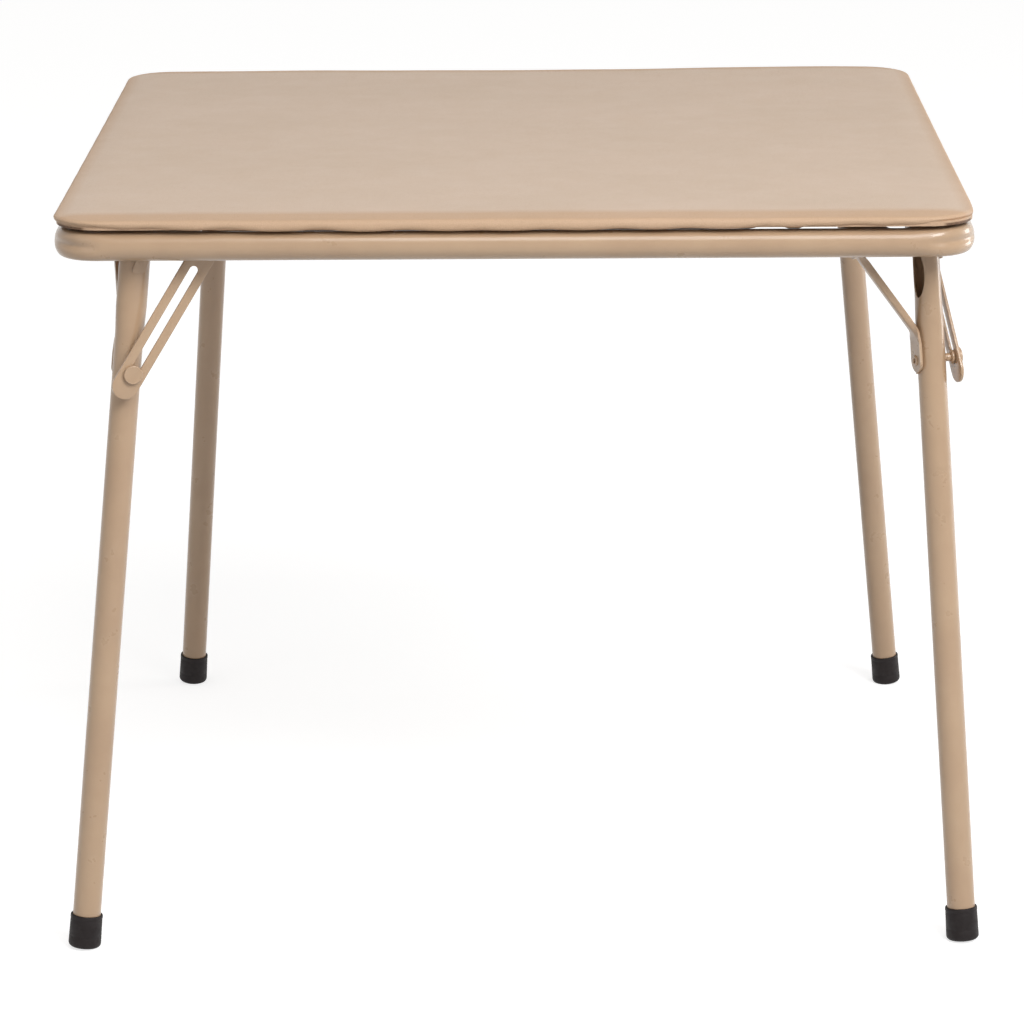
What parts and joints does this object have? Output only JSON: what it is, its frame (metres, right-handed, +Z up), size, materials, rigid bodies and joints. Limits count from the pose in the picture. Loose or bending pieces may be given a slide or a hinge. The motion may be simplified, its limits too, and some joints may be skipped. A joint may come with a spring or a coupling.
{
  "type": "folding card table",
  "caption": "Child-size folding table with a padded square top on a round tube frame; the splayed tube legs fold flat under it in a pinwheel and lock with slotted braces.",
  "frame": {"origin": "on the floor under the middle of the table top", "axes": "+Z up, -Y the front of the table as in the picture, +X its right side"},
  "size_m": [0.6194, 0.6366, 0.5032],
  "materials": {
    "padded_vinyl": "satin",
    "tan_paint": "gloss",
    "rubber_cap": "satin",
    "hardboard": "matt",
    "foam": "matt",
    "zinc_steel": "satin"
  },
  "bodies": {
    "table_top": {"frame_tube_ring": "tan_paint", "top_board": "hardboard", "foam_pad": "foam", "vinyl_cover": "padded_vinyl", "cover_staples": "zinc_steel", "panel_screws": "zinc_steel", "front_right_leg_bracket": "tan_paint", "front_right_hinge_rivet": "tan_paint", "front_right_strut_tab": "tan_paint", "front_right_strut_pivot_rivet": "tan_paint", "front_right_brace_tab": "tan_paint", "front_right_brace_pivot_rivet": "tan_paint", "back_right_leg_bracket": "tan_paint", "back_right_hinge_rivet": "tan_paint", "back_right_strut_tab": "tan_paint", "back_right_strut_pivot_rivet": "tan_paint", "back_right_brace_tab": "tan_paint", "back_right_brace_pivot_rivet": "tan_paint", "back_left_leg_bracket": "tan_paint", "back_left_hinge_rivet": "tan_paint", "back_left_strut_tab": "tan_paint", "back_left_strut_pivot_rivet": "tan_paint", "back_left_brace_tab": "tan_paint", "back_left_brace_pivot_rivet": "tan_paint", "front_left_leg_bracket": "tan_paint", "front_left_hinge_rivet": "tan_paint", "front_left_strut_tab": "tan_paint", "front_left_strut_pivot_rivet": "tan_paint", "front_left_brace_tab": "tan_paint", "front_left_brace_pivot_rivet": "tan_paint"},
    "front_right_leg": {"front_right_leg_tube": "tan_paint", "front_right_leg_cap": "rubber_cap", "front_right_leg_strut": "tan_paint", "front_right_strut_rivet": "tan_paint"},
    "front_right_brace": {"front_right_lock_brace": "tan_paint"},
    "front_right_pin": {"front_right_lock_pin": "tan_paint"},
    "back_right_leg": {"back_right_leg_tube": "tan_paint", "back_right_leg_cap": "rubber_cap", "back_right_leg_strut": "tan_paint", "back_right_strut_rivet": "tan_paint"},
    "back_right_brace": {"back_right_lock_brace": "tan_paint"},
    "back_right_pin": {"back_right_lock_pin": "tan_paint"},
    "back_left_leg": {"back_left_leg_tube": "tan_paint", "back_left_leg_cap": "rubber_cap", "back_left_leg_strut": "tan_paint", "back_left_strut_rivet": "tan_paint"},
    "back_left_brace": {"back_left_lock_brace": "tan_paint"},
    "back_left_pin": {"back_left_lock_pin": "tan_paint"},
    "front_left_leg": {"front_left_leg_tube": "tan_paint", "front_left_leg_cap": "rubber_cap", "front_left_leg_strut": "tan_paint", "front_left_strut_rivet": "tan_paint"},
    "front_left_brace": {"front_left_lock_brace": "tan_paint"},
    "front_left_pin": {"front_left_lock_pin": "tan_paint"}
  },
  "joints": [
    {"name": "front_right_leg_fold", "type": "hinge", "parent": "table_top", "child": "front_right_leg", "pos_m": [0.2725, -0.2498, 0.4762], "axis": [0.9506, 0.3089, 0.0305], "range_deg": [0, 96.3]},
    {"name": "front_right_brace_swing", "type": "hinge", "parent": "table_top", "child": "front_right_brace", "pos_m": [0.27238, -0.1999, 0.48287], "axis": [0.9506, 0.3089, 0.0305], "range_deg": [0, 112.54]},
    {"name": "front_right_pin_travel", "type": "slide", "parent": "front_right_brace", "child": "front_right_pin", "axis": [-0.1939, 0.5141, 0.8355], "range_m": [0, 0.06951]},
    {"name": "back_right_leg_fold", "type": "hinge", "parent": "table_top", "child": "back_right_leg", "pos_m": [0.2498, 0.2725, 0.4762], "axis": [-0.3089, 0.9506, 0.0305], "range_deg": [0, 96.3]},
    {"name": "back_right_brace_swing", "type": "hinge", "parent": "table_top", "child": "back_right_brace", "pos_m": [0.1999, 0.27238, 0.48287], "axis": [-0.3089, 0.9506, 0.0305], "range_deg": [0, 112.54]},
    {"name": "back_right_pin_travel", "type": "slide", "parent": "back_right_brace", "child": "back_right_pin", "axis": [-0.5141, -0.1939, 0.8355], "range_m": [0, 0.06951]},
    {"name": "back_left_leg_fold", "type": "hinge", "parent": "table_top", "child": "back_left_leg", "pos_m": [-0.2305, 0.2611, 0.4762], "axis": [-0.9966, -0.0348, 0.075], "range_deg": [0, 96.3]},
    {"name": "back_left_brace_swing", "type": "hinge", "parent": "table_top", "child": "back_left_brace", "pos_m": [-0.24382, 0.21311, 0.48354], "axis": [-0.9966, -0.0348, 0.075], "range_deg": [0, 112.54]},
    {"name": "back_left_pin_travel", "type": "slide", "parent": "back_left_brace", "child": "back_left_pin", "axis": [0.0818, -0.5463, 0.8336], "range_m": [0, 0.06951]},
    {"name": "front_left_leg_fold", "type": "hinge", "parent": "table_top", "child": "front_left_leg", "pos_m": [-0.2498, -0.2725, 0.4762], "axis": [0.3089, -0.9506, 0.0305], "range_deg": [0, 96.3]},
    {"name": "front_left_brace_swing", "type": "hinge", "parent": "table_top", "child": "front_left_brace", "pos_m": [-0.1999, -0.27238, 0.48287], "axis": [0.3089, -0.9506, 0.0305], "range_deg": [0, 112.54]},
    {"name": "front_left_pin_travel", "type": "slide", "parent": "front_left_brace", "child": "front_left_pin", "axis": [0.5141, 0.1939, 0.8355], "range_m": [0, 0.06951]}
  ],
  "couplings": [
    {"joint": "front_right_brace_swing", "follows": "front_right_leg_fold", "ratio": 1.1681},
    {"joint": "front_right_pin_travel", "follows": "front_right_leg_fold", "m_per_rad": 0.041324},
    {"joint": "back_right_brace_swing", "follows": "back_right_leg_fold", "ratio": 1.1681},
    {"joint": "back_right_pin_travel", "follows": "back_right_leg_fold", "m_per_rad": 0.041324},
    {"joint": "back_left_brace_swing", "follows": "back_left_leg_fold", "ratio": 1.1681},
    {"joint": "back_left_pin_travel", "follows": "back_left_leg_fold", "m_per_rad": 0.041324},
    {"joint": "front_left_brace_swing", "follows": "front_left_leg_fold", "ratio": 1.1681},
    {"joint": "front_left_pin_travel", "follows": "front_left_leg_fold", "m_per_rad": 0.041324}
  ]
}
